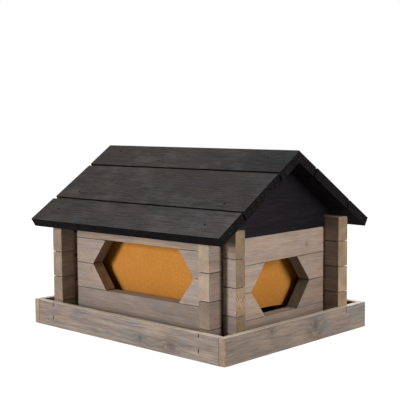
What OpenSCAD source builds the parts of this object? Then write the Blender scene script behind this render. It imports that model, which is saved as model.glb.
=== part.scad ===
// Bird feeder built like a small log cabin, all sizes in millimetres.
// A tray with a raised rim carries four walls of crossing logs. Each wall has a
// six-sided window, a hopper of thin panels stands inside the walls, and a gabled
// roof of planks rests on two gable boards.
// X runs along the front, Y from front to back, Z up. The origin lies under the
// middle of the tray, on the ground.

/* [Tray] */
// Length of the tray over the rim, along the front
tray_l = 472; // [440:2:560]
// Depth of the tray over the rim, from front to back
tray_w = 378; // [345:1:460]
// Height of the rim boards
rim_h = 45; // [34:1:60]
// Thickness of the rim boards
rim_t = 12; // [8:1:20]
// Height of the floor's upper face above the ground
floor_top = 26.5; // [18:0.5:32]
// Thickness of the floor planks
floor_t = 16; // [8:1:17]
// Gap between neighbouring floor planks
floor_gap = 1.5; // [0.5:0.5:4]

/* [Log walls] */
// Height of one log
log_h = 45; // [36:1:54]
// Thickness of a log
log_t = 24; // [14:1:26]
// Length of the log ends that stand past the crossing wall
log_end = 30; // [20:1:40]
// Flat eased along each long edge of a log
log_ease = 1; // [0.5:0.1:2]
// Clearance between the log ends and the rim
end_gap = 1; // [0.5:0.5:4]

/* [Windows] */
// Length of the sill of the front and back windows
long_window_l = 180; // [120:2:200]
// Length of the sill of the gable windows
short_window_l = 85; // [60:1:110]
// How far the window's points reach past its sill at each side
window_point = 35; // [15:1:40]
// How far the front and back windows sit to the right of the middle, seen from outside
long_window_shift = 5.5; // [-8:0.5:8]
// How far the gable windows sit to the right of the middle, seen from outside
short_window_shift = 2; // [-8:0.5:8]

/* [Roof] */
// How far the roof reaches past the gable walls
verge_l = 42; // [36:1:80]
// How far the roof reaches past the front and back walls, down the slope
eave_l = 65; // [40:0.5:80]
// Slope of the roof, in degrees
roof_pitch = 32.5; // [26:0.5:38]
// Thickness of the roof planks
roof_t = 18; // [9:1:20]
// Width of the planks at the ridge
ridge_plank_w = 63; // [50:0.5:80]
// Width of the planks at the eaves
eave_plank_w = 68.5; // [50:0.5:80]
// Gap between neighbouring roof planks
plank_gap = 2.5; // [0.5:0.5:4]
// Flat eased along the upper edges of a roof plank
plank_ease = 1; // [0.5:0.1:2]
// Height of the roof planks' undersides above the top log, at its outer face
roof_clear = 2; // [2:1:14]
// Thickness of the gable boards
gable_board_t = 19; // [10:1:19]

/* [Hopper] */
// Thickness of the hopper panels
hopper_t = 4; // [3:0.5:8]
// Space between the logs and the hopper panels
hopper_gap = 13; // [8:1:30]
// Height of the hopper's upper edge above the floor
hopper_h = 172; // [140:1:180]
// Height of the seed outlets above the floor, in the middle
outlet_h = 26; // [18:1:34]
// Rise of the arch over each seed outlet
outlet_rise = 9; // [4:1:14]
// Length of the feet beside each seed outlet
foot_l = 14; // [8:1:30]

/* [Hidden] */
WALLS = ["front", "right_gable", "back", "left_gable"];
LOGS = ["log_1", "log_2_left", "log_2_right", "log_3_left", "log_3_right", "log_4"];
SLOPES = ["front", "back"];
FLOOR_PLANKS = 3;

// Colours
WEATHERED = [0.63, 0.56, 0.51];
HARDBOARD = [0.76, 0.51, 0.23];
CHARCOAL = [0.24, 0.24, 0.24];

// Space inside the rim, and the half lengths of the logs that fill it
inner_l = tray_l - 2 * rim_t;
inner_w = tray_w - 2 * rim_t;
long_half = inner_l / 2 - end_gap;
short_half = inner_w / 2 - end_gap;

// Distance of each wall's outer face from the middle of the feeder
wall_x = long_half - log_end;
wall_y = short_half - log_end;

// The gable walls stand half a log lower than the front and back walls, and each
// log is notched by a quarter of its height where it meets the log above or below
half_log = log_h / 2;
notch = log_h / 4;
wall_top = floor_top + 4 * log_h;
gable_top = wall_top - half_log;
edge_slack = 1;

// Roof: length, and height of the ridge on the planks' upper faces
roof_l = 2 * (wall_x + verge_l);
ridge_z = wall_top + roof_clear + wall_y * tan(roof_pitch) + roof_t / cos(roof_pitch);

// Length of each slope; its middle plank fills what the ridge and eave planks leave
slope_l = wall_y / cos(roof_pitch) + eave_l;
eave_start = slope_l - eave_plank_w;
middle_start = ridge_plank_w + plank_gap;
middle_end = eave_start - plank_gap;

// Outer faces of the hopper
hopper_x = wall_x - log_t - hopper_gap;
hopper_y = wall_y - log_t - hopper_gap;

FINE = 180;

// ---- Tray ----

module rim_board(l) {
    color(WEATHERED)
        translate([-l / 2, 0, 0])
            cube([l, rim_t, rim_h]);
}

module front_rim_board() {
    translate([0, -tray_w / 2, 0])
        rim_board(inner_l);
}

module back_rim_board() {
    rotate([0, 0, 180])
        front_rim_board();
}

// The side boards run the full depth and cover the ends of the front and back boards
module right_rim_board() {
    translate([tray_l / 2, 0, 0])
        rotate([0, 0, 90])
            rim_board(tray_w);
}

module left_rim_board() {
    rotate([0, 0, 180])
        right_rim_board();
}

module floor_plank(i) {
    pitch = (inner_w + floor_gap) / FLOOR_PLANKS;
    color(WEATHERED)
        translate([-inner_l / 2, -inner_w / 2 + (i - 1) * pitch, floor_top - floor_t])
            cube([inner_l, pitch - floor_gap, floor_t]);
}

// ---- Log walls ----
// A wall is drawn along X with its outer face on Y = 0 and its inner side towards +Y

// Bar from x0 to x1 with eased long edges
module eased_bar(x0, x1, z, h) {
    e = log_ease;
    translate([x0, 0, z])
        rotate([90, 0, 90])
            linear_extrude(x1 - x0)
                polygon([
                    [e, 0], [log_t - e, 0], [log_t, e], [log_t, h - e],
                    [log_t - e, h], [e, h], [0, h - e], [0, e]
                ]);
}

// Notches at both crossings, from z to z + h; cross is the crossing wall's outer face
module notches(cross, z, h) {
    for (side = [-1, 1])
        translate([side * (cross - log_t / 2) - log_t / 2, -edge_slack, z])
            cube([log_t, log_t + 2 * edge_slack, h]);
}

// One log; z is its underside, and it is notched below, above or both
module notched_log(x0, x1, cross, z, h, below, above) {
    difference() {
        eased_bar(x0, x1, z, h);
        if (below)
            notches(cross, z - edge_slack, notch + edge_slack);
        if (above)
            notches(cross, z + h - notch, notch + edge_slack);
    }
}

// Six-sided window over two rows of logs, with its points on the seam between them
module window_prism(sill_l, shift, z) {
    a = sill_l / 2;
    b = a + window_point;
    translate([shift, -edge_slack, z])
        rotate([90, 0, 0])
            mirror([0, 0, 1])
                linear_extrude(log_t + 2 * edge_slack)
                    polygon([[-a, 0], [a, 0], [b, log_h], [a, 2 * log_h], [-a, 2 * log_h], [-b, log_h]]);
}

// One log of a wall. base is the height of the bottom log, which is a half log in a gable
module wall_log(log, half_l, cross, base, sill_l, shift) {
    sill_z = floor_top + base;
    row_z = log[4] == "2" ? sill_z : sill_z + log_h;
    color(WEATHERED)
        if (log == "log_1")
            notched_log(-half_l, half_l, cross, floor_top, base, base == log_h, true);
        else if (log == "log_4")
            notched_log(-half_l, half_l, cross, sill_z + 2 * log_h, log_h, true, base != log_h);
        else
            difference() {
                if (len(log) > len("log_2_left"))
                    notched_log(shift, half_l, cross, row_z, log_h, true, true);
                else
                    notched_log(-half_l, shift, cross, row_z, log_h, true, true);
                window_prism(sill_l, shift, sill_z);
            }
}

module placed_log(wall, log) {
    if (wall == "front")
        translate([0, -wall_y, 0])
            wall_log(log, long_half, wall_x, log_h, long_window_l, long_window_shift);
    else if (wall == "back")
        rotate([0, 0, 180])
            translate([0, -wall_y, 0])
                wall_log(log, long_half, wall_x, log_h, long_window_l, long_window_shift);
    else if (wall == "right_gable")
        translate([wall_x, 0, 0])
            rotate([0, 0, 90])
                wall_log(log, short_half, wall_y, half_log, short_window_l, short_window_shift);
    else
        translate([-wall_x, 0, 0])
            rotate([0, 0, -90])
                wall_log(log, short_half, wall_y, half_log, short_window_l, short_window_shift);
}

// ---- Hopper ----
// Four thin panels that stand on the floor, each cut away below by an arched outlet

module hopper_panel(l) {
    arch_half = l / 2 - foot_l;
    arch_r = (arch_half * arch_half + outlet_rise * outlet_rise) / (2 * outlet_rise);
    color(HARDBOARD)
        translate([0, 0, floor_top])
            rotate([90, 0, 0])
                mirror([0, 0, 1])
                    linear_extrude(hopper_t)
                        difference() {
                            translate([-l / 2, 0])
                                square([l, hopper_h]);
                            intersection() {
                                translate([-arch_half, -edge_slack])
                                    square([2 * arch_half, outlet_h + edge_slack]);
                                translate([0, outlet_h - arch_r])
                                    circle(r = arch_r, $fn = FINE);
                            }
                        }
}

module front_hopper_panel() {
    translate([0, -hopper_y, 0])
        hopper_panel(2 * hopper_x);
}

module back_hopper_panel() {
    rotate([0, 0, 180])
        front_hopper_panel();
}

// The side panels stand between the front and back panels
module right_hopper_panel() {
    translate([hopper_x, 0, 0])
        rotate([0, 0, 90])
            hopper_panel(2 * (hopper_y - hopper_t));
}

module left_hopper_panel() {
    rotate([0, 0, 180])
        right_hopper_panel();
}

// ---- Roof ----

// Height of the planks' undersides over a distance y from the ridge line
function underside_z(y) = ridge_z - roof_t / cos(roof_pitch) - y * tan(roof_pitch);

// The board stands on the top gable log and laps over the ends of the front and back walls
module gable_board() {
    inner_y = wall_y - log_t;
    color(CHARCOAL)
        rotate([90, 0, 90])
            linear_extrude(gable_board_t)
                polygon([
                    [-inner_y, gable_top], [inner_y, gable_top],
                    [inner_y, wall_top], [wall_y, wall_top],
                    [wall_y, underside_z(wall_y)], [0, underside_z(0)],
                    [-wall_y, underside_z(wall_y)], [-wall_y, wall_top],
                    [-inner_y, wall_top]
                ]);
}

module right_gable_board() {
    translate([wall_x - gable_board_t, 0, 0])
        gable_board();
}

module left_gable_board() {
    mirror([1, 0, 0])
        right_gable_board();
}

// Point in the YZ plane, s down the front slope and d below its upper face
function on_slope(s, d) = [
    -s * cos(roof_pitch) + d * sin(roof_pitch),
    ridge_z - s * sin(roof_pitch) - d * cos(roof_pitch)
];

// Plank of the front slope from s0 to s1; the ridge plank is mitred on the ridge line
module slope_plank(s0, s1) {
    e = plank_ease;
    mitred = s0 == 0;
    color(CHARCOAL)
        translate([-roof_l / 2, 0, 0])
            rotate([90, 0, 90])
                linear_extrude(roof_l)
                    polygon(concat(
                        mitred ? [on_slope(0, 0)] : [on_slope(s0, e), on_slope(s0 + e, 0)],
                        [on_slope(s1 - e, 0), on_slope(s1, e), on_slope(s1, roof_t)],
                        [on_slope(mitred ? roof_t * tan(roof_pitch) : s0, roof_t)]
                    ));
}

module roof_plank(slope, row) {
    mirror([0, slope == "back" ? 1 : 0, 0])
        if (row == "ridge")
            slope_plank(0, ridge_plank_w);
        else if (row == "middle")
            slope_plank(middle_start, middle_end);
        else
            slope_plank(eave_start, slope_l);
}

// ---- The parts ----

front_rim_board();
back_rim_board();
left_rim_board();
right_rim_board();
for (i = [1 : FLOOR_PLANKS])
    floor_plank(i);
for (wall = WALLS)
    for (log = LOGS)
        placed_log(wall, log);
front_hopper_panel();
back_hopper_panel();
left_hopper_panel();
right_hopper_panel();
left_gable_board();
right_gable_board();
for (slope = SLOPES)
    for (row = ["ridge", "middle", "eave"])
        roof_plank(slope, row);
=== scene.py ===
"""Bird feeder like a small log cabin: weathered logs, a stained plank roof and a board hopper."""
import math
import random

import bpy
from mathutils import Matrix, Vector


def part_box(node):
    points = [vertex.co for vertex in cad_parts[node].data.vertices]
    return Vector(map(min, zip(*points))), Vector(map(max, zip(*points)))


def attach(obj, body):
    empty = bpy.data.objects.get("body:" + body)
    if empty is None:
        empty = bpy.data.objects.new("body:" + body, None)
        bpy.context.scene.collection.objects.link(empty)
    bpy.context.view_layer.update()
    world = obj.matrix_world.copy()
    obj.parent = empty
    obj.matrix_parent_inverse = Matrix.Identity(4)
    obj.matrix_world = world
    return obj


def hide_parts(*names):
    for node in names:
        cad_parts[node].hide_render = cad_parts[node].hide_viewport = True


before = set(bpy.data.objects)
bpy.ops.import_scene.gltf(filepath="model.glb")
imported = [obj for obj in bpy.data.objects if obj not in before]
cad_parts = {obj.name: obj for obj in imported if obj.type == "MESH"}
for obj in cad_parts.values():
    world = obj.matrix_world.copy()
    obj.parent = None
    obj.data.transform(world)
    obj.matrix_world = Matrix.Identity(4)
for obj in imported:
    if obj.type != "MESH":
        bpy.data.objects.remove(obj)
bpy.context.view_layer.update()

# ---- Sizes, in metres ----

MM = 0.001
# The frame's logs give the walls' sizes
FRONT_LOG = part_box("front_log_4")
GABLE_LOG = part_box("right_gable_log_4")
LOG_T = FRONT_LOG[1].y - FRONT_LOG[0].y
LOG_H = FRONT_LOG[1].z - FRONT_LOG[0].z
WALL_X = GABLE_LOG[1].x
WALL_Y = -FRONT_LOG[0].y
NOTCH = LOG_H / 4
FLOOR_TOP = FRONT_LOG[1].z - 4 * LOG_H
# How far the windows' left and right points lie past the ends of their sills
WINDOW_POINT = 35 * MM

# How wide the worn edges are
LOG_EASE = 1.6 * MM
TOP_LOG_EASE = 5 * MM
BOARD_EASE = 1.1 * MM
PLANK_EASE = 0.9 * MM
PANEL_EASE = 0.4 * MM
STEEL_EASE = 0.3 * MM
# How much each log is planed off above and below
SEAM = 0.35 * MM
# How closely a piece is divided along its grain, and how deep its faces are worn
WAVE_STEP = 14 * MM
WAVE_DEPTH = 0.35 * MM
# How far a cutter reaches past what it cuts
CUT_SPARE = 4 * MM

ROOF_PITCH = math.radians(32.5)
ROOF_T = 17.2 * MM
RIDGE_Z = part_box("front_ridge_plank")[1].z

# How the boards were sawn from their trunks: how far they are turned about their length, how far their
# middles lie from the heart in millimetres, where their marks start, and how much the trunk tapers
GRAIN_TURN = 0.5
HEART = (18, 60)
GRAIN_START = 5
TAPER = 0.02
NO_KNOT = Vector((100, 100, 0))
chance = random.Random(11)

# ---- Work on pieces ----


def only(piece):
    """Select one piece alone and make it the active one."""
    bpy.ops.object.select_all(action="DESELECT")
    piece.select_set(True)
    bpy.context.view_layer.objects.active = piece


def settle(piece):
    """Write a piece's place, turn and size into its mesh."""
    only(piece)
    bpy.ops.object.transform_apply(location=True, rotation=True, scale=True)
    return piece


def block(name, low, high):
    """Block between two corners."""
    low, high = Vector(low), Vector(high)
    bpy.ops.object.select_all(action="DESELECT")
    bpy.ops.mesh.primitive_cube_add(size=1, location=(low + high) / 2, scale=high - low)
    piece = bpy.context.active_object
    piece.name = name
    return settle(piece)


def apply_modifier(piece, kind, **settings):
    """Add one modifier to a piece and apply it."""
    only(piece)
    modifier = piece.modifiers.new(kind.lower(), kind)
    for key, value in settings.items():
        setattr(modifier, key, value)
    bpy.ops.object.modifier_apply(modifier=modifier.name)
    return piece


def carve(piece, *cutters):
    """Cut other solids out of a piece, and remove them."""
    for cutter in cutters:
        apply_modifier(piece, "BOOLEAN", object=cutter, operation="DIFFERENCE", solver="EXACT")
        bpy.data.objects.remove(cutter, do_unlink=True)
    return piece


def ease(piece, width, segments=3):
    """Round the sharp edges of a piece."""
    return apply_modifier(piece, "BEVEL", width=width, segments=segments, limit_method="ANGLE",
                          angle_limit=math.radians(30))


def saw(piece, point, normal):
    """Saw a piece along a plane, and keep the side away from the normal."""
    only(piece)
    bpy.ops.object.mode_set(mode="EDIT")
    bpy.ops.mesh.select_all(action="SELECT")
    bpy.ops.mesh.bisect(plane_co=point, plane_no=normal, use_fill=True, clear_outer=True)
    bpy.ops.object.mode_set(mode="OBJECT")
    return piece


def score(piece, axis, step):
    """Divide a piece crosswise in even steps along one of its axes."""
    low = min(v.co[axis] for v in piece.data.vertices)
    high = max(v.co[axis] for v in piece.data.vertices)
    count = round((high - low) / step)
    normal = Vector([axis == i for i in range(3)])
    only(piece)
    bpy.ops.object.mode_set(mode="EDIT")
    for i in range(1, count):
        bpy.ops.mesh.select_all(action="SELECT")
        place = normal * (low + (high - low) * i / count)
        bpy.ops.mesh.bisect(plane_co=place, plane_no=normal)
    bpy.ops.object.mode_set(mode="OBJECT")
    return piece


def ease_edge(piece, width, chosen):
    """Round the edges whose two ends pass a test."""
    only(piece)
    bpy.ops.object.mode_set(mode="EDIT")
    bpy.ops.mesh.select_mode(type="EDGE")
    bpy.ops.mesh.select_all(action="DESELECT")
    bpy.ops.object.mode_set(mode="OBJECT")
    vertices = piece.data.vertices
    for edge in piece.data.edges:
        edge.select = all(chosen(vertices[i].co) for i in edge.vertices)
    bpy.ops.object.mode_set(mode="EDIT")
    bpy.ops.mesh.bevel(offset=width, segments=4, affect="EDGES")
    bpy.ops.object.mode_set(mode="OBJECT")
    return piece


def copy_node(node, name):
    """Merged copy of a CAD node's mesh, ready to be worked on."""
    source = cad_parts[node]
    piece = bpy.data.objects.new(name, source.data.copy())
    piece.data.materials.clear()
    bpy.context.scene.collection.objects.link(piece)
    only(piece)
    bpy.ops.object.mode_set(mode="EDIT")
    bpy.ops.mesh.select_all(action="SELECT")
    bpy.ops.mesh.remove_doubles(threshold=0.01 * MM)
    bpy.ops.mesh.dissolve_limited(angle_limit=math.radians(0.5))
    bpy.ops.object.mode_set(mode="OBJECT")
    return piece


def join(name, pieces):
    """One object made of several."""
    bpy.ops.object.select_all(action="DESELECT")
    for piece in pieces:
        piece.select_set(True)
    bpy.context.view_layer.objects.active = pieces[0]
    bpy.ops.object.join()
    joined = bpy.context.active_object
    joined.name = name
    return joined


waves = bpy.data.textures.new("slow waves", "CLOUDS")
waves.noise_scale = 25 * MM
waves.noise_depth = 2


def weather(piece, depth=WAVE_DEPTH):
    """Wear a piece's faces and edges back unevenly, then even out its shading."""
    apply_modifier(piece, "DISPLACE", texture=waves, texture_coords="LOCAL", direction="NORMAL",
                   strength=depth, mid_level=1)
    bpy.ops.object.shade_smooth()
    return apply_modifier(piece, "WEIGHTED_NORMAL", mode="FACE_AREA", weight=80)


def vector_attribute(piece, name, values):
    """Store one vector for each vertex."""
    attribute = piece.data.attributes.new(name, "FLOAT_VECTOR", "POINT")
    attribute.data.foreach_set("vector", [number for value in values for number in value])


def grow_grain(piece, along, tone=(1, 0.5), ends=(1, 1), end_warmth=0.5, sawn=(0, 0), knots=()):
    """Give a piece the grain of a board sawn from a trunk.

    The grain attribute is measured along the board and from the trunk's heart. tone is how light and
    how warm the board is, ends how light its low and high ends are, end_warmth how warm they are, and
    sawn how clearly they show the saw's marks. knots are up to two, each with its place along the
    board, its height, and half its length and half its width, in millimetres.
    """
    along = Vector(along).normalized()
    across = along.cross(Vector((0, 0, 1))).normalized()
    corners = [v.co.copy() for v in piece.data.vertices]
    middle = sum(corners, Vector()) / len(corners)
    angle = chance.uniform(-GRAIN_TURN, GRAIN_TURN) + chance.choice((0, math.pi))
    turn = Matrix.Rotation(angle, 3, along)
    first = turn @ across
    second = along.cross(first)
    heart = chance.uniform(*HEART) * MM
    start = chance.uniform(0, GRAIN_START)
    taper = chance.uniform(-TAPER, TAPER)
    grain = []
    cut = []
    for corner in corners:
        reach = corner - middle
        length = reach.dot(along)
        grain.append((start + length, heart + reach.dot(first) + taper * length, reach.dot(second)))
        cut.append((ends[length > 0], sawn[length > 0], end_warmth))
    vector_attribute(piece, "grain", grain)
    vector_attribute(piece, "cut", cut)
    for i, name in enumerate(("knot_a", "knot_b")):
        marks = [NO_KNOT] * len(corners)
        if i < len(knots):
            place, height, length, width = (number * MM for number in knots[i])
            marks = [((c.dot(along) - place) / length, (c.z - height) / width, 0) for c in corners]
        vector_attribute(piece, name, marks)
    vector_attribute(piece, "tone", [(tone[0], tone[1], 0)] * len(corners))


# How much a face looks along the grain to be end grain, and upward to be a roof plank's upper face
END_FACING = 0.5
UPPER_FACING = 0.6


def finish(piece, along, face, end, slot, nodes, **marks):
    """Grow a piece's grain, give its faces and its ends their materials, and put it in the frame."""
    grow_grain(piece, along, **marks)
    piece.data.materials.clear()
    piece.data.materials.append(face)
    piece.data.materials.append(end)
    axis = Vector(along).normalized()
    for polygon in piece.data.polygons:
        polygon.material_index = int(abs(polygon.normal.dot(axis)) > END_FACING)
    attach(piece, "root")
    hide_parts(*nodes)
    return piece


def vary_tone(piece, along, tones, warmths):
    """Let a piece's tone and warmth run from its low end, through its middle, to its high end."""
    places = [vertex.co.dot(Vector(along)) for vertex in piece.data.vertices]
    low, high = min(places), max(places)
    for place, mark in zip(places, piece.data.attributes["tone"].data):
        share = 2 * (place - low) / (high - low)
        half = min(1, int(share))
        tone, warmth = (run[half] + (share - half) * (run[half + 1] - run[half])
                        for run in (tones, warmths))
        mark.vector = (tone, warmth, 0)


# ---- Shader building ----


def put(tree, kind, inputs=None, **settings):
    """Add a node. Its inputs are values, or sockets to link from."""
    node = tree.nodes.new(kind)
    for key, value in settings.items():
        setattr(node, key, value)
    for key, value in (inputs or {}).items():
        if isinstance(value, bpy.types.NodeSocket):
            tree.links.new(value, node.inputs[key])
        else:
            node.inputs[key].default_value = value
    return node


def calc(tree, operation, *values):
    """Result of a math node."""
    return put(tree, "ShaderNodeMath", dict(enumerate(values)), operation=operation).outputs[0]


def vector_calc(tree, operation, *values):
    """Vector result of a vector math node."""
    return put(tree, "ShaderNodeVectorMath", dict(enumerate(values)), operation=operation).outputs[0]


def refit(tree, value, low, high, new_low=0.0, new_high=1.0):
    """Value moved smoothly from one range into another."""
    inputs = {0: value, 1: low, 2: high, 3: new_low, 4: new_high}
    return put(tree, "ShaderNodeMapRange", inputs, interpolation_type="SMOOTHSTEP").outputs[0]


def blend(tree, amount, first, second, kind="MIX"):
    """Mixed colour."""
    inputs = {0: amount, 6: first, 7: second}
    return put(tree, "ShaderNodeMix", inputs, data_type="RGBA", blend_type=kind).outputs[2]


def layer(tree, colour, mark, low, high, strength, over):
    """Colour with another laid over it, in a strength that grows as a mark goes from low to high."""
    return blend(tree, refit(tree, mark, low, high, 0, strength), colour, over)


def stretched_noise(tree, vector, stretch, detail=2.0, roughness=0.5):
    """Noise with its own scale along each axis of a vector."""
    scaled = vector_calc(tree, "MULTIPLY", vector, stretch)
    inputs = {"Vector": scaled, "Scale": 1.0, "Detail": detail, "Roughness": roughness}
    return put(tree, "ShaderNodeTexNoise", inputs).outputs[0]


def new_group(name, inputs, outputs):
    """Shader node group with its sockets, and the group's input and output nodes."""
    group = bpy.data.node_groups.new(name, "ShaderNodeTree")
    for label, kind, value in inputs:
        socket = group.interface.new_socket(label, in_out="INPUT", socket_type=kind)
        if value is not None:
            socket.default_value = value
    for label, kind in outputs:
        group.interface.new_socket(label, in_out="OUTPUT", socket_type=kind)
    return group, group.nodes.new("NodeGroupInput").outputs, group.nodes.new("NodeGroupOutput").inputs


def rgb(red, green, blue):
    """Colour from its screen values out of 255."""
    def linear(value):
        value /= 255
        return value / 12.92 if value < 0.04045 else ((value + 0.055) / 1.055) ** 2.4
    return (linear(red), linear(green), linear(blue), 1)


# How many times per metre each mark comes along the grain and in the two ways across it, and its noise's
# detail and roughness
TIMBER_NOISE = {"Fibre": ((35, 620, 620), 3, 0.6), "Streak": ((7, 150, 150), 4, 0.65),
                "Blotch": ((14, 40, 40), 3, 0.6), "Veil": ((17, 24, 24), 4, 0.65)}
# How often and how far the growth rings wander
BEND_SCALE = (8, 40, 40)
BEND_WIDTH = 9 * MM
# Where in its width a ring grows dark, and where it ends, further out
RING_RISE = (0.25, 0.88)
RING_FALL = (1.0, 0.9)
# How many rings a knot pushes aside, and where its core and its halo end and are full, in half widths
KNOT_PULL = 1.8
KNOT_CORE = (1.3, 0.2)
KNOT_HALO = (5.0, 0.8)


def timber_group():
    """Growth rings, fibres, streaks and stains of a sawn board, with grain that flows around knots."""
    group, given, out = new_group(
        "timber",
        [("Grain", "NodeSocketVector", None), ("Knot A", "NodeSocketVector", None),
         ("Knot B", "NodeSocketVector", None), ("Ring Spacing", "NodeSocketFloat", 3 * MM)],
        [("Rings", "NodeSocketFloat"), ("Fibre", "NodeSocketFloat"), ("Streak", "NodeSocketFloat"),
         ("Blotch", "NodeSocketFloat"), ("Veil", "NodeSocketFloat"), ("Knot", "NodeSocketFloat"),
         ("Halo", "NodeSocketFloat")])
    grain = given["Grain"]
    bend = stretched_noise(group, grain, BEND_SCALE)
    flat = vector_calc(group, "MULTIPLY", grain, (0, 1, 1))
    radius = put(group, "ShaderNodeVectorMath", {0: flat}, operation="LENGTH").outputs["Value"]
    radius = calc(group, "MULTIPLY_ADD", calc(group, "SUBTRACT", bend, 0.5), BEND_WIDTH, radius)
    phase = calc(group, "DIVIDE", radius, given["Ring Spacing"])
    core = 0.0
    halo = 0.0
    for label in ("Knot A", "Knot B"):
        oval = vector_calc(group, "MULTIPLY", given[label], (1, 1, 0))
        away = put(group, "ShaderNodeVectorMath", {0: oval}, operation="LENGTH").outputs["Value"]
        spread = calc(group, "ADD", calc(group, "MULTIPLY", away, away), 0.5)
        phase = calc(group, "ADD", phase, calc(group, "DIVIDE", KNOT_PULL, spread))
        core = calc(group, "MAXIMUM", core, refit(group, away, *KNOT_CORE))
        halo = calc(group, "MAXIMUM", halo, refit(group, away, *KNOT_HALO))
    turn = calc(group, "FRACT", phase)
    rise = refit(group, turn, *RING_RISE)
    fall = refit(group, turn, *RING_FALL)
    group.links.new(calc(group, "MULTIPLY", rise, fall), out["Rings"])
    shifted = vector_calc(group, "ADD", grain, (3, 3, 3))
    for label, place in (("Fibre", grain), ("Streak", grain), ("Blotch", grain), ("Veil", shifted)):
        group.links.new(stretched_noise(group, place, *TIMBER_NOISE[label]), out[label])
    group.links.new(core, out["Knot"])
    group.links.new(halo, out["Halo"])
    return group


TIMBER = timber_group()
# Strength of every finish's bump
RELIEF = 0.6


def new_material(name):
    """Empty material, with its tree and its Principled shader."""
    material = bpy.data.materials.new(name)
    material.use_nodes = True
    tree = material.node_tree
    tree.nodes.clear()
    shader = put(tree, "ShaderNodeBsdfPrincipled")
    put(tree, "ShaderNodeOutputMaterial", {"Surface": shader.outputs[0]})
    return material, tree, shader


def attribute(tree, name):
    """Vector attribute of the piece."""
    return put(tree, "ShaderNodeAttribute", attribute_name=name).outputs["Vector"]


def timber_marks(tree, ring_spacing):
    """Outputs of the timber group, fed by the piece's own grain and knots."""
    inputs = {"Grain": attribute(tree, "grain"), "Knot A": attribute(tree, "knot_a"),
              "Knot B": attribute(tree, "knot_b"), "Ring Spacing": ring_spacing}
    return put(tree, "ShaderNodeGroup", inputs, node_tree=TIMBER).outputs


def position(tree):
    """Place in the piece, which is its place in the scene."""
    return put(tree, "ShaderNodeTexCoord").outputs["Object"]


def part_of(tree, vector, axis):
    """One number of a vector: its X, Y or Z."""
    return put(tree, "ShaderNodeSeparateXYZ", {0: vector}).outputs["XYZ".index(axis)]


def brightened(tree, colour, amount):
    """Colour times a value."""
    amounts = put(tree, "ShaderNodeCombineXYZ", {0: amount, 1: amount, 2: amount}).outputs[0]
    return vector_calc(tree, "MULTIPLY", colour, amounts)


# What a colour is multiplied by at a warmth of 0, and at 1
COOL_TINT = (0.94, 1.0, 1.09, 1)
WARM_TINT = (1.06, 1.0, 0.91, 1)


def tinted(tree, colour, warmth):
    """Colour made greyer towards a warmth of 0, and warmer towards 1."""
    tint = blend(tree, warmth, COOL_TINT, WARM_TINT)
    return vector_calc(tree, "MULTIPLY", colour, tint)


def toned(tree, colour):
    """Colour made lighter or darker, and greyer or warmer, by the piece's tone, which on some pieces holds
    painted light and shade.
    """
    tone = attribute(tree, "tone")
    return brightened(tree, tinted(tree, colour, part_of(tree, tone, "Y")), part_of(tree, tone, "X"))


def surface(tree, shader, colour, roughness, gloss):
    """Set a shader's colour, and how rough and how glossy it is."""
    tree.links.new(colour, shader.inputs["Base Color"])
    shader.inputs["Roughness"].default_value = roughness
    shader.inputs["Specular IOR Level"].default_value = gloss


def relief(tree, shader, height, distance):
    """Bump from a height."""
    bump = put(tree, "ShaderNodeBump", {"Strength": RELIEF, "Distance": distance, "Height": height})
    tree.links.new(bump.outputs[0], shader.inputs["Normal"])


def facing(tree, axis):
    """How much a face looks along an axis: 1 straight along it, -1 straight against it."""
    normal = put(tree, "ShaderNodeNewGeometry").outputs["Normal"]
    return part_of(tree, normal, axis)


# Stain and wood of the logs' and rim boards' faces, and the pale colour of the painted light on their
# upward faces
DARK_STREAK = rgb(118, 103, 93)
PALE_STREAK = rgb(178, 158, 141)
RING = rgb(104, 84, 72)
DARK_FIBRE = rgb(98, 82, 72)
PALE_FIBRE = rgb(186, 168, 152)
HALO = rgb(98, 84, 75)
KNOT = rgb(66, 52, 44)
TOP_LIGHT_COLOUR = rgb(222, 207, 188)


def weathered_face(name, dull, fresh, veil, contrast, painted_top_light):
    """Planed face of a log or rim board: thin grey stain over brown wood, lightened by painted light where
    it looks up.
    """
    material, tree, shader = new_material(name)
    marks = timber_marks(tree, 3 * MM)
    colour = blend(tree, refit(tree, marks["Blotch"], 0.3, 0.7), dull, fresh)
    colour = layer(tree, colour, marks["Veil"], 0.48, 0.66, contrast, veil)
    colour = layer(tree, colour, marks["Streak"], 0.5, 0.72, contrast, DARK_STREAK)
    colour = layer(tree, colour, marks["Streak"], 0.5, 0.28, 0.7 * contrast, PALE_STREAK)
    ring = calc(tree, "MULTIPLY", marks["Rings"], refit(tree, marks["Halo"], 0, 1, 0.35 * contrast, 0.6))
    colour = blend(tree, ring, colour, RING)
    colour = layer(tree, colour, marks["Fibre"], 0.5, 0.7, 0.6 * contrast, DARK_FIBRE)
    colour = layer(tree, colour, marks["Fibre"], 0.48, 0.32, 0.35 * contrast, PALE_FIBRE)
    colour = blend(tree, calc(tree, "MULTIPLY", marks["Halo"], 0.28), colour, HALO)
    colour = blend(tree, calc(tree, "MULTIPLY", marks["Knot"], 0.6), colour, KNOT)
    # Painted highlight: faces that look up are blended towards a pale colour, standing in for light from
    # above
    top_light_share = refit(tree, facing(tree, "Z"), 0.35, 0.9, 0, painted_top_light)
    surface(tree, shader, blend(tree, top_light_share, toned(tree, colour), TOP_LIGHT_COLOUR), roughness=0.6, gloss=0.4)
    height = calc(tree, "MULTIPLY_ADD", marks["Rings"], 0.6, marks["Fibre"])
    relief(tree, shader, height, 0.3 * MM)
    return material


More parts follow.
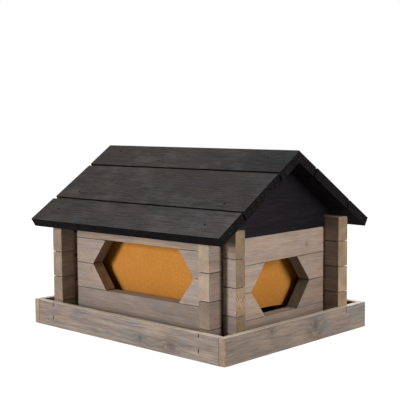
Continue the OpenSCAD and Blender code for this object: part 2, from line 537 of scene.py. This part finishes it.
def saw_marks(tree):
    """Crossing slanted scratches that a saw left across an end."""
    place = position(tree)
    lines = 0.0
    for lean in (1, -1):
        slant = vector_calc(tree, "MULTIPLY", place, (0, 1, 0.75 * lean))
        inputs = {"Vector": slant, "Scale": 95, "Distortion": 0.8, "Detail": 2}
        bands = put(tree, "ShaderNodeTexWave", inputs, bands_direction="DIAGONAL")
        lines = calc(tree, "MAXIMUM", lines, refit(tree, bands.outputs[1], 0.3, 0.0))
    patches = stretched_noise(tree, place, (120, 120, 120), 2)
    return calc(tree, "MULTIPLY", lines, refit(tree, patches, 0.4, 0.6, 0.25, 1))


# End grain of the logs and rim boards
END_DULL = rgb(152, 132, 112)
END_FRESH = rgb(180, 159, 137)
END_VEIL = rgb(155, 143, 129)
END_RING = rgb(106, 84, 64)
END_FIBRE = rgb(110, 92, 75)
SCRATCH = rgb(88, 68, 52)


def weathered_end():
    """Sawn end of a log or rim board, with its rings as arcs."""
    material, tree, shader = new_material("weathered end grain")
    marks = timber_marks(tree, 2.4 * MM)
    colour = blend(tree, refit(tree, marks["Blotch"], 0.3, 0.7), END_DULL, END_FRESH)
    colour = layer(tree, colour, marks["Veil"], 0.5, 0.7, 0.6, END_VEIL)
    colour = blend(tree, calc(tree, "MULTIPLY", marks["Rings"], 0.5), colour, END_RING)
    colour = layer(tree, colour, marks["Fibre"], 0.5, 0.8, 0.4, END_FIBRE)
    cut = attribute(tree, "cut")
    scratches = calc(tree, "MULTIPLY", part_of(tree, cut, "Y"), saw_marks(tree))
    colour = blend(tree, calc(tree, "MULTIPLY", scratches, 0.7), colour, SCRATCH)
    colour = brightened(tree, tinted(tree, colour, part_of(tree, cut, "Z")), part_of(tree, cut, "X"))
    surface(tree, shader, colour, roughness=0.85, gloss=0.1)
    height = calc(tree, "MULTIPLY_ADD", marks["Rings"], 0.8, marks["Fibre"])
    relief(tree, shader, calc(tree, "SUBTRACT", height, scratches), 0.6 * MM)
    return material


# How light the stain is where fibres and rings took more of it, as a share of the ground
DEEP_SHARE = 0.4


def charcoal(name, ground, light, warm, strength):
    """Black stain that the grain shows through, rubbed lighter in patches."""
    material, tree, shader = new_material(name)
    marks = timber_marks(tree, 3.4 * MM)
    deep = [DEEP_SHARE * part for part in ground[:3]] + [1]
    colour = layer(tree, ground, marks["Blotch"], 0.35, 0.65, strength, warm)
    colour = layer(tree, colour, marks["Veil"], 0.45, 0.7, strength, light)
    colour = layer(tree, colour, marks["Streak"], 0.52, 0.7, 0.35, deep)
    colour = blend(tree, calc(tree, "MULTIPLY", marks["Rings"], 0.3), colour, deep)
    colour = layer(tree, colour, marks["Fibre"], 0.5, 0.7, 0.55, deep)
    colour = layer(tree, colour, marks["Fibre"], 0.48, 0.3, 0.5, light)
    surface(tree, shader, toned(tree, colour), roughness=0.75, gloss=0.04)
    height = calc(tree, "MULTIPLY_ADD", marks["Rings"], 0.8, marks["Fibre"])
    relief(tree, shader, height, 0.5 * MM)
    return material


TORN_BLACK = rgb(13, 12, 13)
TORN_BROWN = rgb(21, 18, 18)
TORN_FIBRE = rgb(58, 53, 52)


def torn_ends():
    """Rough ends, edges and undersides of the roof planks: near black, with paler torn fibres."""
    material, tree, shader = new_material("charcoal ends")
    place = position(tree)
    tears = stretched_noise(tree, place, (420, 420, 420), 3, 0.7)
    patches = stretched_noise(tree, place, (60, 60, 60), 2)
    colour = blend(tree, refit(tree, patches, 0.35, 0.65), TORN_BLACK, TORN_BROWN)
    side = calc(tree, "ABSOLUTE", facing(tree, "X"))
    torn = calc(tree, "MULTIPLY", refit(tree, tears, 0.52, 0.7), refit(tree, side, 0.4, 0.9, 0.25, 0.8))
    surface(tree, shader, blend(tree, torn, colour, TORN_FIBRE), roughness=0.85, gloss=0.04)
    relief(tree, shader, tears, 0.8 * MM)
    return material


BOARD_GOLD = rgb(184, 121, 54)
BOARD_PALE = rgb(201, 138, 64)
BOARD_SPECK = rgb(177, 116, 52)
BOARD_PATCH = rgb(180, 117, 52)
# Colour that the light which the board throws back is mixed with, and how much of it
BOUNCE_GREY = rgb(152, 136, 122)
BOUNCE_SHARE = 0.7


def hardboard():
    """Golden brown pressed fibre board, duller near its foot."""
    material, tree, shader = new_material("hardboard")
    place = position(tree)
    fine = stretched_noise(tree, place, (700, 700, 700), 3, 0.6)
    flecks = stretched_noise(tree, place, (230, 230, 230), 4, 0.7)
    broad = stretched_noise(tree, place, (30, 30, 30), 2)
    colour = blend(tree, refit(tree, flecks, 0.3, 0.7), BOARD_GOLD, BOARD_PALE)
    colour = layer(tree, colour, fine, 0.3, 0.7, 0.3, BOARD_SPECK)
    colour = layer(tree, colour, broad, 0.35, 0.65, 0.3, BOARD_PATCH)
    # Darker towards the bottom
    lower_darkening = refit(tree, part_of(tree, place, "Z"), 40 * MM, 115 * MM, 0.72, 1.0)
    colour = brightened(tree, colour, lower_darkening)
    bounce = put(tree, "ShaderNodeLightPath").outputs["Is Diffuse Ray"]
    colour = blend(tree, calc(tree, "MULTIPLY", bounce, BOUNCE_SHARE), colour, BOUNCE_GREY)
    surface(tree, shader, colour, roughness=0.8, gloss=0.03)
    relief(tree, shader, calc(tree, "MULTIPLY_ADD", flecks, 0.5, fine), 0.2 * MM)
    return material


STEEL_BLACK = rgb(20, 17, 16)
STEEL_RUST = rgb(32, 24, 20)


def dark_steel():
    """Rusted heads of staples and nails."""
    material, tree, shader = new_material("dark steel")
    rust = stretched_noise(tree, position(tree), (900, 900, 900), 3, 0.6)
    colour = blend(tree, refit(tree, rust, 0.4, 0.6), STEEL_BLACK, STEEL_RUST)
    surface(tree, shader, colour, roughness=0.8, gloss=0.1)
    shader.inputs["Metallic"].default_value = 0.2
    relief(tree, shader, rust, 0.2 * MM)
    return material


LOG_FACE = weathered_face("weathered log", dull=rgb(148, 130, 118), fresh=rgb(165, 144, 129),
                          veil=rgb(143, 137, 134), contrast=0.5, painted_top_light=0.25)
RIM_FACE = weathered_face("weathered rim", dull=rgb(136, 121, 111), fresh=rgb(164, 144, 127),
                          veil=rgb(126, 125, 125), contrast=0.9, painted_top_light=0.85)
END = weathered_end()
# The grey ground of the roof planks' upper faces is mostly painted sheen over a near-black stain
ROOF_FACE = charcoal("charcoal roof", ground=rgb(64, 63, 62), light=rgb(86, 84, 82),
                     warm=rgb(72, 65, 60), strength=0.8)
ROOF_END = torn_ends()
GABLE_FACE = charcoal("charcoal gable", ground=rgb(27, 24, 28), light=rgb(36, 33, 36),
                      warm=rgb(30, 25, 26), strength=0.5)
HARDBOARD = hardboard()
STEEL = dark_steel()

# ---- Tray ----

# How light each board is at its low end, in its middle and at its high end, how warm it is, and how light
# the sawn ends are. On the front and right boards the run of lightness is painted light: the right board
# darkens towards the near corner, and the front board towards its left end.
RIM_TONES_AND_PAINTED_LIGHT = {"front": (0.84, 0.89, 0.93, 0.4), "back": (0.9, 0.85, 0.92, 0.5),
             "left": (0.86, 0.94, 0.9, 0.5), "right": (0.71, 0.79, 0.89, 0.65)}
RIM_ENDS = (1.15, 1.15)
# Place along the board, height, half length and half width of each knot, in millimetres
RIM_KNOTS = {"front": [(49, 16.5, 6, 7), (121, 15.5, 13, 6)],
             "right": [(-75.5, 37, 3.5, 4), (41, 27, 8, 9)]}
# Staples in the front and back boards, in slots that are a little wider
STAPLE_X = 181.5 * MM
STAPLE_HEIGHTS = (17 * MM, 41 * MM)
STAPLE_W = 1.2 * MM
STAPLE_CROWN = 5 * MM
STAPLE_SUNK = 0.5 * MM
SLOT_W = 2.2 * MM
SLOT_L = 8 * MM
SLOT_DEPTH = 1.3 * MM
SLOT_SPARE = 0.3 * MM
# Crack down from the right board's upper edge, and its rounded near corner
CRACK_Y = 130 * MM
CRACK_W = 1.2 * MM
CRACK_L = 13 * MM
CRACK_DEPTH = 2 * MM
WORN_CORNER = 5 * MM


def staple_blocks(side, width, length, top, bottom):
    """Upright blocks where a rim board's staples are, from one depth below its outer face to another."""
    low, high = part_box(side + "_rim_board")
    face, inward = (low.y, 1) if side == "front" else (high.y, -1)
    near, far = sorted((face + inward * top, face + inward * bottom))
    return [block("staple", (x - width / 2, near, z - length / 2), (x + width / 2, far, z + length / 2))
            for x in (-STAPLE_X, STAPLE_X) for z in STAPLE_HEIGHTS]


def steel_piece(name, parts):
    """Join steel parts into one piece and put it in the frame."""
    piece = join(name, parts)
    piece.data.materials.clear()
    piece.data.materials.append(STEEL)
    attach(piece, "root")


def staples(side):
    """Crowns of the staples in the front or back rim board, sunk below its face."""
    crowns = [ease(crown, STEEL_EASE, 2)
              for crown in staple_blocks(side, STAPLE_W, STAPLE_CROWN, STAPLE_SUNK, SLOT_DEPTH)]
    steel_piece(side + "_rim_staples", crowns)


def crack(board, high):
    """Cut a crack into a board's outer face, down from its upper edge."""
    carve(board, block("cutter", (high.x - CRACK_DEPTH, CRACK_Y - CRACK_W / 2, high.z - CRACK_L),
                       (high.x + MM, CRACK_Y + CRACK_W / 2, high.z + MM)))


def rim_boards():
    """Four boards around the floor, with the slots of their staples, a crack and a worn corner."""
    for side in ("front", "back", "left", "right"):
        node = side + "_rim_board"
        low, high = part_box(node)
        board = block(node + "_piece", low, high)
        if side == "right":
            ease_edge(board, WORN_CORNER, lambda p: p.x > high.x - MM and p.y < low.y + MM)
        ease(board, BOARD_EASE)
        long_x = side in ("front", "back")
        along = (1, 0, 0) if long_x else (0, 1, 0)
        score(board, 0 if long_x else 1, WAVE_STEP)
        weather(board)
        if long_x:
            carve(board, *staple_blocks(side, SLOT_W, SLOT_L, -SLOT_SPARE, SLOT_DEPTH))
        if side == "right":
            crack(board, high)
        finish(board, along, RIM_FACE, END, "weathered_wood", [node], ends=RIM_ENDS,
               knots=RIM_KNOTS.get(side, ()))
        *tones, warmth = RIM_TONES_AND_PAINTED_LIGHT[side]
        vary_tone(board, along, tones, [warmth] * 3)


FLOOR_TONE = (0.9, 0.5)


def floor_planks():
    """Three planks under the walls."""
    for i in (1, 2, 3):
        node = f"floor_plank_{i}"
        low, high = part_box(node)
        plank = block(node + "_piece", low, high)
        ease(plank, BOARD_EASE)
        weather(plank)
        finish(plank, (1, 0, 0), RIM_FACE, END, "floor_wood", [node], tone=FLOOR_TONE)


# ---- Log walls ----
# Logs are made in their wall's own frame: along X, with the outer face on Y = 0 and the inside on +Y

# How far each wall is turned from the front one, in degrees, in their order from left to right
WALLS = {"front": 0, "right_gable": 90, "back": 180, "left_gable": 270}
# How far each wall's outer face stands out past the frame's, in millimetres
PROUD = {"front": -0.5, "right_gable": 0.2, "back": 4.4, "left_gable": 1.6}
# How much thinner the logs are, on their inner faces
THINNER = 1.3 * MM
# How much each wall's logs rise towards their right, and how far their left and right ends drop, in
# millimetres
LEAN = {"front": 3, "right_gable": 0.7, "back": 0, "left_gable": 0}
DROP = {"front": (2, 3), "right_gable": (1.5, 0.5), "back": (2.5, 2), "left_gable": (2, 3)}
# Further drop of the upper faces of the highest logs' ends, in millimetres
TOP_DROP = {"front": 0.5, "right_gable": 0, "back": 1.5, "left_gable": 0}
# How much the free ends are cut back above and below, so that their seams stand open
END_SEAM = 0.15 * MM
# Widths of the open joints inside the left and right crossings, in millimetres, and how deep they are
GAPS = {"front": (6.4, 1), "right_gable": (1, 3), "back": (3, 3), "left_gable": (3, 3)}
GAP_DEPTH = 8 * MM
# Width of the open joints outside the crossings
END_GAP = 0.8 * MM
# How much a wall's logs are cut short at their right ends
END_TRIM = {"front": 1.8 * MM}


def neighbour(wall, step):
    """Wall that stands left of another, for a step of -1, or right of it, for 1."""
    order = list(WALLS)
    return order[(order.index(wall) + step) % len(order)]


def wall_face(wall):
    """Distance of a wall's outer face from the middle of the feeder."""
    return WALL_Y if wall in ("front", "back") else WALL_X


def cross_face(wall):
    """Distance of the crossing walls' outer faces from the middle of this wall."""
    return WALL_X if wall in ("front", "back") else WALL_Y


def in_wall(wall, node):
    """Corners of a log's box in its wall's frame."""
    turn = Matrix.Rotation(math.radians(-WALLS[wall]), 3, "Z")
    ends = [turn @ corner + Vector((0, wall_face(wall), 0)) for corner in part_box(node)]
    low = Vector(map(min, *ends))
    high = Vector(map(max, *ends))
    return low, high


def crossings(wall):
    """Inner and outer faces of the two logs that cross a wall, as they stand, from left to right."""
    outer = cross_face(wall)
    left = -outer - PROUD[neighbour(wall, -1)] * MM
    right = outer + PROUD[neighbour(wall, 1)] * MM
    inner = outer - LOG_T + THINNER
    return (left, -inner), (inner, right)


def corner_grooves(wall, low, high):
    """Blocks for the open joints that show as dark lines beside the crossing logs."""
    (left, left_in), (right_in, right) = crossings(wall)
    left_gap, right_gap = GAPS[wall]
    spans = [(left - END_GAP, left + MM), (left_in - MM, left_in + left_gap * MM),
             (right_in - right_gap * MM, right_in + MM), (right - MM, right + END_GAP)]
    return [block("cutter", (start, low.y - CUT_SPARE, low.z - MM), (stop, low.y + GAP_DEPTH, high.z + MM))
            for start, stop in spans]


def notch_cutters(wall, low, high, below, above):
    """Blocks for the notches where the crossing logs pass."""
    spare = Vector((0, CUT_SPARE, 0))
    cutters = []
    for start, stop in crossings(wall):
        if below:
            cutters.append(block("cutter", Vector((start, low.y, low.z - MM)) - spare,
                                 Vector((stop, high.y, low.z + NOTCH)) + spare))
        if above:
            cutters.append(block("cutter", Vector((start, low.y, high.z - NOTCH)) - spare,
                                 Vector((stop, high.y, high.z + MM)) + spare))
    return cutters


def cut_window_end(log, low, high, half, lower_row):
    """Saw the slanting end of a log beside the window. half is left or right."""
    side, sill_x = (1, high.x) if half == "left" else (-1, low.x)
    sill_z, point_z = (low.z, high.z) if lower_row else (high.z, low.z)
    saw(log, Vector((sill_x, 0, sill_z)), Vector((side, 0, WINDOW_POINT / (point_z - sill_z))))


def lean_log(piece, wall, log):
    """Let a log rise a little to the right, with its ends lower. The lowest log stays on the floor."""
    inner = cross_face(wall) - LOG_T
    middle = sum(vertex.co.z for vertex in piece.data.vertices) / len(piece.data.vertices)
    for vertex in piece.data.vertices:
        place = vertex.co.x
        height = vertex.co.z
        share = min(1, (height - FLOOR_TOP) / LOG_H)
        if abs(place) <= inner:
            vertex.co.z += share * LEAN[wall] * MM * (place / inner + 1) / 2
        elif abs(place) > inner + LOG_T / 2:
            vertex.co.z -= share * DROP[wall][place > 0] * MM
            if height > middle and log != "log_4":
                vertex.co.z -= END_SEAM
            if height < middle and log != "log_1":
                vertex.co.z += END_SEAM
            if log == "log_4" and height > middle:
                vertex.co.z -= TOP_DROP[wall] * MM


def make_log(wall, log):
    """One log of a wall, in its place."""
    node = f"{wall}_{log}"
    low, high = in_wall(wall, node)
    low.y -= PROUD[wall] * MM
    gable = wall.endswith("gable")
    start = Vector((low.x, low.y, low.z + SEAM))
    stop = Vector((high.x - END_TRIM.get(wall, 0), high.y - THINNER, high.z - SEAM))
    piece = block(node + "_piece", start, stop)
    below = not (gable and log == "log_1")
    above = gable or log != "log_4"
    if log.endswith(("left", "right")):
        cut_window_end(piece, low, high, log.split("_")[2], log.startswith("log_2"))
    if log == "log_4":
        ease_edge(piece, TOP_LOG_EASE, lambda p: abs(p.z - stop.z) < MM / 2 and abs(p.y - low.y) < MM / 2)
    carve(piece, *notch_cutters(wall, low, high, below, above))
    carve(piece, *corner_grooves(wall, low, high))
    ease(piece, LOG_EASE)
    score(piece, 0, WAVE_STEP)
    lean_log(piece, wall, log)
    piece.location.y = -wall_face(wall)
    settle(piece)
    piece.rotation_euler.z = math.radians(WALLS[wall])
    settle(piece)
    return weather(piece)


LOGS = ("log_1", "log_2_left", "log_2_right", "log_3_left", "log_3_right", "log_4")
# How light each log is left of, between and right of the crossings, how warm it is, and how light its
# left and right ends are
# Some of these tones are painted light and shade: the lightened right end of front_log_2_left is painted
# light on the front window's lower left jamb; the darker right part and end of front_log_1 and the darker
# left part and end of right_gable_log_1 are painted shade in the near corner; the darker left parts of
# right_gable_log_2_left, right_gable_log_3_left and right_gable_log_4 are painted shade on the crossing
# ends at the near corner; the darker right part and end of front_log_4 are painted shadow of the eave
LOG_TONES_AND_PAINTED_LIGHT = {
    "front_log_1": (0.8, 0.72, 0.55, 0.4, 1, 0.6),
    "front_log_2_left": (1, 0.94, 1, 0.5, 0.9, 1.6),
    "front_log_2_right": (1, 1.12, 0.96, 0.4, 0.9, 1.15),
    "front_log_3_left": (1, 0.95, 1, 0.5, 0.9, 0.9),
    "front_log_3_right": (1, 0.92, 0.96, 0.45, 0.9, 0.72),
    "front_log_4": (1, 1, 0.74, 0.9, 0.9, 0.74),
    "right_gable_log_1": (0.5, 0.85, 0.9, 0.75, 0.5, 0.9),
    "right_gable_log_2_left": (0.58, 1.1, 1, 0.8, 0.72, 1),
    "right_gable_log_2_right": (1, 0.72, 0.8, 0.9, 0.72, 1),
    "right_gable_log_3_left": (0.66, 1.12, 1, 0.75, 1.3, 1),
    "right_gable_log_3_right": (1, 0.95, 0.9, 0.7, 0.87, 1),
    "right_gable_log_4": (0.8, 1.07, 1, 0.75, 1.22, 1),
    "back_log_1": (0.9, 0.95, 1, 1, 0.9, 1),
    "back_log_2_left": (0.92, 1, 1, 1.1, 1.15, 0.9),
    "back_log_3_left": (1, 1, 1, 1.1, 0.94, 0.9),
    "back_log_4": (1.02, 1, 1, 1, 0.82, 0.9),
    "left_gable_log_1": (0.9, 0.9, 0.9, 0.8, 0.9, 0.8),
    "left_gable_log_2_right": (1, 0.9, 1, 0.9, 0.9, 0.86),
    "left_gable_log_3_right": (1, 1, 1, 0.9, 0.9, 0.9),
    "left_gable_log_4": (1, 1.05, 1, 0.8, 0.9, 0.86),
}
# How warm the ends of the logs that lie front to back, and of the others, are
GABLE_END_WARMTH = 0.3
LONG_END_WARMTH = 1
# Place along the log, height, half length and half width of each knot, in millimetres
LOG_KNOTS = {"right_gable_log_4": [(71.5, 157, 1.6, 1.6)],
             "front_log_2_left": [(-123.7, 108.5, 0.8, 2.2)]}
# The log whose right end shows the saw's marks
SAWN_LOG = "front_log_2_right"
# Between which values the other logs' lightness, warmth and right ends vary, and how light their left
# ends are
PLAIN_LIGHT = (0.88, 1.06)
PLAIN_WARMTH = (0.4, 0.8)
PLAIN_RIGHT_END = (0.75, 1)
PLAIN_LEFT_END = 0.9


def log_tone(node):
    """A log's listed tones, some of them painted light and shade, or plain ones that vary a little."""
    light = chance.uniform(*PLAIN_LIGHT)
    warmth = chance.uniform(*PLAIN_WARMTH)
    plain = (light, light, light, warmth, PLAIN_LEFT_END, chance.uniform(*PLAIN_RIGHT_END))
    return LOG_TONES_AND_PAINTED_LIGHT.get(node, plain)


def log_walls():
    """Four walls of crossing logs."""
    for wall in WALLS:
        along = Vector((1, 0, 0)) if wall in ("front", "back") else Vector((0, 1, 0))
        along *= 1 if wall in ("front", "right_gable") else -1
        for log in LOGS:
            node = f"{wall}_{log}"
            left, middle, right, warm, left_end, right_end = log_tone(node)
            piece = finish(make_log(wall, log), along, LOG_FACE, END, "weathered_wood", [node],
                           tone=(middle, warm), ends=(left_end, right_end),
                           end_warmth=GABLE_END_WARMTH if wall.endswith("gable") else LONG_END_WARMTH,
                           sawn=(0, node == SAWN_LOG), knots=LOG_KNOTS.get(node, ()))
            tones = piece.data.attributes["tone"].data
            for vertex in piece.data.vertices:
                place = vertex.co.dot(along)
                if abs(place) > cross_face(wall) - LOG_T / 2:
                    tones[vertex.index].vector = (right if place > 0 else left, warm, 0)


# ---- Hopper ----


def hopper_panels():
    """Four thin panels inside the walls."""
    for side in ("front", "back", "left", "right"):
        node = side + "_hopper_panel"
        panel = copy_node(node, node + "_piece")
        ease(panel, PANEL_EASE, 2)
        panel.data.materials.append(HARDBOARD)
        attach(panel, "root")
        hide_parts(node)


# ---- Roof ----

# How light the gable boards are at the front, in the middle and at the back, and how warm; the lightness
# is painted light that falls off from front to back
GABLE_PAINTED_LIGHT = (1.75, 1.1, 0.55)
GABLE_WARMTHS = (0.5, 0.5, 0.5)


def gable_boards():
    """Boards that close the gables under the roof."""
    for side in ("left", "right"):
        node = side + "_gable_board"
        board = copy_node(node, node + "_piece")
        ease(board, PANEL_EASE, 2)
        finish(board, (0, 1, 0), GABLE_FACE, ROOF_END, "charcoal_wood", [node])
        vary_tone(board, (0, 1, 0), GABLE_PAINTED_LIGHT, GABLE_WARMTHS)


# Each plank but the lowest runs on under the next one: how far below its upper face, and how far down
LAP = 4 * MM
LAPS = {"front": {"ridge": 2.6 * MM, "middle": 2.2 * MM}, "back": {"ridge": 1.5 * MM, "middle": 0.8 * MM}}
# How far the ridge planks reach past the mitre, so that no light comes through it
MITRE_SPARE = 0.3 * MM
# How far each plank is cut short at its left end, right end, upper edge and lower edge, in millimetres,
# then how far it is turned and how far its left end is out of square, in degrees. The back slope is
# made as a front one and then turned about.
PLANK_SETTING = {
    "front": {"ridge": (-0.6, 2.4, -3, 0, 0.34, 2.8), "middle": (4, 2.4, 0.4, -0.6, 0.33, 1.7),
              "eave": (6.5, 3.2, 1, 2.4, 0.62, 1.1)},
    "back": {"ridge": (3.4, 1.5, -3, 6.7, 0, 0), "middle": (2.4, 3.5, -7.5, -1.5, 0, 0),
             "eave": (1.9, 2.5, 0, 0.6, 0, 0)},
}
# How light and how warm each plank is at its left end, in its middle and at its right end
PLANK_TONES = {
    "front": {"ridge": ((0.8, 0.99, 0.58), (0.7, 0.6, 0)),
              "middle": ((0.88, 0.9, 0.86), (0.65, 0.45, 0.15)),
              "eave": ((0.8, 0.93, 1.3), (0.55, 0.3, 0.25))},
    "back": {"ridge": ((0.9, 1, 0.85), (0.5, 0.5, 0.5)),
             "middle": ((0.95, 0.85, 0.95), (0.4, 0.5, 0.3)),
             "eave": ((0.9, 1, 1.1), (0.5, 0.3, 0.5))},
}


def tilt(piece, slope):
    """Tilt a piece that was made flat, with the ridge on the X axis, to lie on one slope."""
    piece.rotation_euler.x = ROOF_PITCH
    piece.location.z = RIDGE_Z
    settle(piece)
    piece.rotation_euler.z = math.pi if slope == "back" else 0
    return settle(piece)


def roof_plank(slope, row):
    """Roof plank, made flat and then tilted."""
    node = f"{slope}_{row}_plank"
    low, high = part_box(f"front_{row}_plank")
    left, right, upper, lower, turn, skew = PLANK_SETTING[slope][row]
    start = (RIDGE_Z - high.z) / math.sin(ROOF_PITCH) + upper * MM
    stop = -low.y / math.cos(ROOF_PITCH) - lower * MM
    tongue = LAPS[slope].get(row, 0)
    plank = block(node + "_piece", (low.x + left * MM, -stop - tongue, -ROOF_T),
                  (high.x - right * MM, -start, 0))
    if tongue:
        carve(plank, block("cutter", (low.x - MM, -stop - 2 * tongue, -LAP), (high.x + MM, -stop, MM)))
    if skew:
        out_of_square = Vector((-1, -math.tan(math.radians(skew)), 0))
        saw(plank, Vector((low.x + left * MM, -start, 0)), out_of_square)
    middle = Matrix.Translation((0, -(start + stop) / 2, 0))
    plank.data.transform(middle @ Matrix.Rotation(math.radians(turn), 4, "Z") @ middle.inverted())
    if row == "ridge":
        across = Vector((0, math.cos(ROOF_PITCH), -math.sin(ROOF_PITCH)))
        saw(plank, MITRE_SPARE * across, across)
    ease(plank, PLANK_EASE)
    score(plank, 0, WAVE_STEP)
    return tilt(plank, slope)


def roof_planks():
    """Three planks on each slope, black on their edges and undersides."""
    for slope, side in (("front", -1), ("back", 1)):
        upward = Vector((0, side * math.sin(ROOF_PITCH), math.cos(ROOF_PITCH)))
        for row in ("ridge", "middle", "eave"):
            plank = roof_plank(slope, row)
            weather(plank)
            finish(plank, (1, 0, 0), ROOF_FACE, ROOF_END, "charcoal_wood", [f"{slope}_{row}_plank"],
                   tone=(1, 0.5))
            vary_tone(plank, (-side, 0, 0), *PLANK_TONES[slope][row])
            for polygon in plank.data.polygons:
                polygon.material_index = int(polygon.normal.dot(upward) < UPPER_FACING)


# Nail heads
NAIL_R = 1.9 * MM
NAIL_T = 1 * MM
# How far the middle of each head lies above the plank
NAIL_RISE = 0.1 * MM
# How far along the roof and down its slope each nail of one slope stands, in millimetres
NAIL_PLACES = ((-186, 19), (-178, 149), (-182, 203), (182, 24), (182, 151), (182, 205))


def roof_nails():
    """Heads of the nails that hold the planks to the gable boards, just proud of the planks."""
    heads = []
    for slope in ("front", "back"):
        for along, down in NAIL_PLACES:
            bpy.ops.object.select_all(action="DESELECT")
            bpy.ops.mesh.primitive_cylinder_add(vertices=16, radius=NAIL_R, depth=NAIL_T,
                                                location=(along * MM, -down * MM, NAIL_RISE))
            head = settle(bpy.context.active_object)
            heads.append(tilt(ease(head, STEEL_EASE, 2), slope))
    steel_piece("roof_nails", heads)


rim_boards()
staples("front")
staples("back")
floor_planks()
log_walls()
hopper_panels()
gable_boards()
roof_planks()
roof_nails()

# ---- Stage, light and camera ----

FLOOR_SIZE = 8
# How much light the floor throws on the feeder, and how much it keeps where it is seen
FLOOR_BOUNCE = 0.3
FLOOR_SHADE = 0.15
# How bright the floor glows beside the feeder, and between which distances it grows white
NEAR_GLOW = 0.95
GLOW_REACH = (0.28, 0.55)
# Light from all round
FILL = 0.02


def grey(value):
    """Grey of one lightness."""
    return (value, value, value, 1)


def seen_rays(tree):
    """1 for what is seen directly, in gloss or through glass, and 0 for what lights the feeder."""
    rays = put(tree, "ShaderNodeLightPath").outputs
    gloss = calc(tree, "MAXIMUM", rays["Is Glossy Ray"], rays["Is Transmission Ray"])
    return calc(tree, "MAXIMUM", rays["Is Camera Ray"], gloss)


def bright_floor():
    """White floor that keeps the feeder's shadow near it and fades into the backdrop."""
    bpy.ops.object.select_all(action="DESELECT")
    bpy.ops.mesh.primitive_plane_add(size=FLOOR_SIZE)
    floor = bpy.context.active_object
    floor.name = "floor"
    material = bpy.data.materials.new("white floor")
    material.use_nodes = True
    tree = material.node_tree
    tree.nodes.clear()
    ray = seen_rays(tree)
    away = put(tree, "ShaderNodeVectorMath", {0: position(tree)}, operation="LENGTH").outputs["Value"]
    strength = refit(tree, away, *GLOW_REACH, NEAR_GLOW, 1.0)
    glow = put(tree, "ShaderNodeEmission", {"Strength": strength}).outputs[0]
    paint = put(tree, "ShaderNodeBsdfDiffuse", {"Color": grey(FLOOR_BOUNCE)}).outputs[0]
    shaded = put(tree, "ShaderNodeBsdfDiffuse", {"Color": grey(FLOOR_SHADE)}).outputs[0]
    seen = put(tree, "ShaderNodeAddShader", {0: shaded, 1: glow}).outputs[0]
    mix = put(tree, "ShaderNodeMixShader", {0: ray, 1: paint, 2: seen}).outputs[0]
    put(tree, "ShaderNodeOutputMaterial", {"Surface": mix})
    floor.data.materials.append(material)


def white_world():
    """White backdrop, with a little light from all round."""
    world = bpy.data.worlds.new("studio")
    bpy.context.scene.world = world
    world.use_nodes = True
    tree = world.node_tree
    tree.nodes.clear()
    ray = seen_rays(tree)
    strength = refit(tree, ray, 0, 1, FILL, 1.0)
    sky = put(tree, "ShaderNodeBackground", {"Color": grey(1), "Strength": strength}).outputs[0]
    put(tree, "ShaderNodeOutputWorld", {"Surface": sky})


# Height on the feeder that the lamps point at
AIM_HEIGHT = 0.15


def softbox(name, azimuth, height, distance, width, tall, power):
    """Soft light that faces the feeder. An azimuth of 0 is in front of it, and 90 at its right."""
    angle = math.radians(azimuth)
    lamp = bpy.data.lights.new(name, "AREA")
    lamp.shape = "RECTANGLE"
    lamp.size = width
    lamp.size_y = tall
    lamp.energy = power
    light = bpy.data.objects.new(name, lamp)
    light.location = (distance * math.sin(angle), -distance * math.cos(angle), height)
    aim = Vector((0, 0, AIM_HEIGHT)) - light.location
    light.rotation_euler = aim.to_track_quat("-Z", "Y").to_euler()
    bpy.context.scene.collection.objects.link(light)


# Lens and sensor in millimetres, and the camera's turn to the left, tilt down and roll in degrees
LENS = 85.076
SENSOR = 36
CAMERA_PLACE = (1.1752, -1.2270, 0.3838)
CAMERA_YAW = 43.577
CAMERA_PITCH = 5.241
CAMERA_ROLL = -0.420


def camera():
    """Camera at the height of a low tripod, in front of the right corner."""
    data = bpy.data.cameras.new("camera")
    data.lens = LENS
    data.sensor_width = SENSOR
    data.clip_end = 50
    seen_from = bpy.data.objects.new("camera", data)
    yaw, pitch, roll = (math.radians(a) for a in (CAMERA_YAW, CAMERA_PITCH, CAMERA_ROLL))
    level = Matrix.Rotation(yaw, 4, "Z") @ Matrix.Rotation(math.pi / 2 - pitch, 4, "X")
    turn = level @ Matrix.Rotation(roll, 4, "Z")
    seen_from.matrix_world = Matrix.Translation(CAMERA_PLACE) @ turn
    bpy.context.scene.collection.objects.link(seen_from)
    bpy.context.scene.camera = seen_from


bright_floor()
white_world()
softbox("left softbox", azimuth=-15.5, height=0.72, distance=3, width=0.45, tall=1.25, power=87)
softbox("right softbox", azimuth=98, height=1.0, distance=3, width=0.55, tall=1.9, power=76)
softbox("top softbox", azimuth=0, height=1.6, distance=0.3, width=1.2, tall=1.2, power=7)
softbox("back softbox", azimuth=215, height=1.2, distance=3, width=1.3, tall=1.3, power=45)
camera()

bpy.context.scene.view_settings.view_transform = "Standard"
